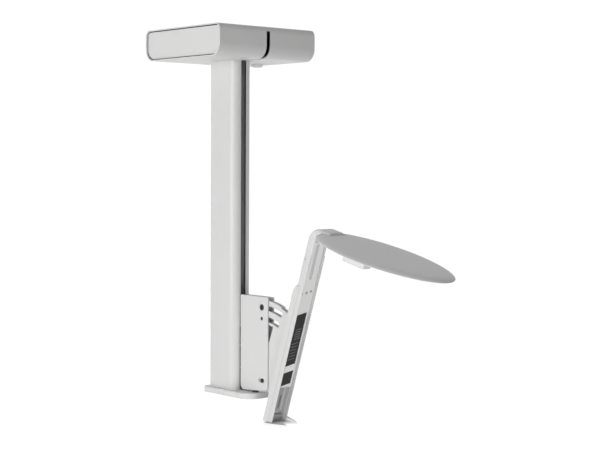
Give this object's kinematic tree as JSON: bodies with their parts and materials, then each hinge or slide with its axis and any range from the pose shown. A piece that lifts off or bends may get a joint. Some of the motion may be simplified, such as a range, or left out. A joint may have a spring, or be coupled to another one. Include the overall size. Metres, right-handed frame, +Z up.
{
  "type": "overhead book scanner station",
  "caption": "Hanging scanner station: head housing, slotted column, sliding bracket, leaning telescopic arm and an oval lamp head with a camera pod.",
  "frame": {"origin": "middle of the four fixing bolts on the head housing's top face", "axes": "+Z up out of the top face, -Y to the front where the arm and lamp head reach, +X to the right seen from the front"},
  "size_m": [0.29, 0.8882, 0.9435],
  "materials": {
    "white_coat": "satin powder coat",
    "column_coat": "satin white powder coat over an extrusion",
    "supply_case": "plain sheet case",
    "arm_coat": "satin powder coat",
    "head_coat": "fine moulded texture",
    "cap_plastic": "fine moulded texture",
    "button_plastic": "fine moulded texture",
    "zinc_steel": "zinc plated",
    "dark_steel": "blackened",
    "cast_grey": "bead blasted",
    "cast_foot": "satin powder coat",
    "grey_plastic": "moulded",
    "black_plastic": "moulded",
    "black_rubber": "matte",
    "board_green": "solder resist",
    "board_white": "solder resist",
    "brass_post": "turned",
    "label_black": "smooth film",
    "label_pale": "paper",
    "spreader_metal": "rolled sheet",
    "diffuser_sheet": "opal sheet",
    "lens_glass": "coated"
  },
  "bodies": {
    "station": {"housing_shell": "white_coat", "end_cap_left": "cap_plastic", "end_cap_right": "cap_plastic", "mount_plate": "zinc_steel", "shell_screws": "zinc_steel", "column_socket": "cast_grey", "socket_screws": "zinc_steel", "column_set_screws": "zinc_steel", "power_supply": "supply_case", "controller_board": "board_green", "board_pillars": "brass_post", "button_switch": "black_plastic", "power_inlet": "black_plastic", "column_extrusion": "column_coat", "slot_gasket_left": "black_rubber", "slot_gasket_right": "black_rubber", "end_plug": "grey_plastic", "column_end_plate": "white_coat", "end_plate_screws": "zinc_steel", "stop_bumper": "black_rubber"},
    "button": {"standby_button": "button_plastic"},
    "carriage": {"carriage_spine": "cast_grey", "glide_pads": "grey_plastic", "bracket_channel": "white_coat", "bracket_bolts": "zinc_steel", "clamp_bolt": "dark_steel", "clamp_nut": "zinc_steel", "guide_pin": "dark_steel", "pivot_pin": "dark_steel", "pivot_nut": "zinc_steel"},
    "arm_base": {"tilt_cheek_left": "white_coat", "tilt_cheek_right": "white_coat", "cheek_spacers": "zinc_steel", "arm_saddle": "white_coat", "saddle_screws": "zinc_steel", "rear_channel": "arm_coat"},
    "arm": {"arm_channel": "arm_coat", "arm_cover": "arm_coat", "slot_rim": "arm_coat", "label_plate": "label_black", "label_band": "label_pale", "latch_rail": "grey_plastic", "elbow_bracket": "arm_coat", "elbow_screws": "zinc_steel", "head_hinge_pin": "zinc_steel", "foot_plug": "grey_plastic", "foot_fork": "cast_foot", "foot_screw": "zinc_steel"},
    "head": {"lamp_shell": "head_coat", "heat_spreader": "spreader_metal", "led_board": "board_white", "light_diffuser": "diffuser_sheet", "pod_shell": "head_coat", "sensor_board": "board_green", "lens_barrel": "black_plastic", "lens_glass": "lens_glass", "pod_screws": "zinc_steel"}
  },
  "joints": [
    {"name": "button_press", "type": "slide", "parent": "station", "child": "button", "axis": [0, 0, 1], "range_m": [0, 0.002], "stiffness_N_per_m": 400, "springref_m": -0.002},
    {"name": "carriage_lift", "type": "slide", "parent": "station", "child": "carriage", "axis": [0, 0, 1], "range_m": [0, 0.54]},
    {"name": "arm_tilt", "type": "hinge", "parent": "carriage", "child": "arm_base", "pos_m": [0, -0.14, -0.844], "axis": [1, 0, 0], "range_deg": [-17, 0]},
    {"name": "arm_extend", "type": "slide", "parent": "arm_base", "child": "arm", "axis": [0, -0.3239, 0.9461], "range_m": [-0.075, 0]},
    {"name": "head_tilt", "type": "hinge", "parent": "arm", "child": "head", "pos_m": [0, -0.38832, -0.48826], "axis": [1, 0, 0], "range_deg": [-25, 40]}
  ]
}
